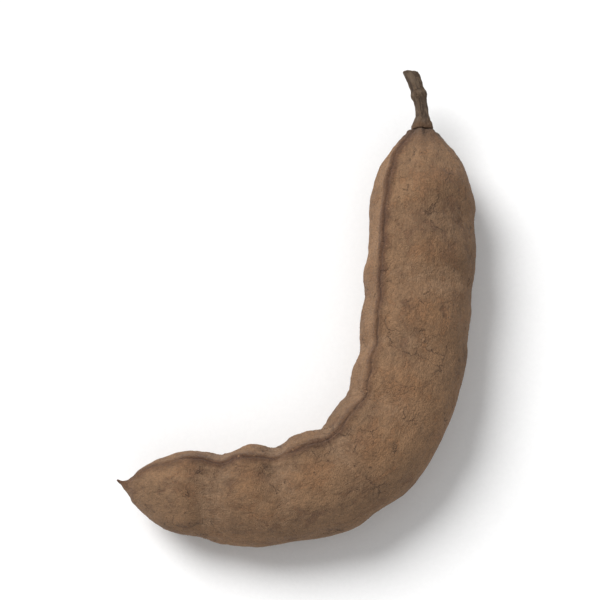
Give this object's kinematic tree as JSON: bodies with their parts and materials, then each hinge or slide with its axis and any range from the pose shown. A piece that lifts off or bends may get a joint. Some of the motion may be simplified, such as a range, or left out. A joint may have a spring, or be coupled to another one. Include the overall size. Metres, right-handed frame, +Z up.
{
  "type": "tamarind pod",
  "caption": "Ripe sweet tamarind pod lying on its side: a curved brown shell swelled by its seeds, with seams, a small beak and a short woody stalk.",
  "frame": {"origin": "on the surface the pod lies on, under the middle of the whole pod with its stalk", "axes": "+Z up from the surface; +X from the beak end towards the stalk end; +Y towards the open side of the curve, where both ends point"},
  "size_m": [0.1372, 0.0696, 0.0236],
  "materials": {
    "shell": "dry brittle pod shell, matt cinnamon brown with fine scurf and darker seams",
    "stalk": "rough grey-brown bark with a pale fibrous cut end"
  },
  "bodies": {
    "root": {"shell": "shell", "stalk": "stalk"}
  },
  "joints": []
}
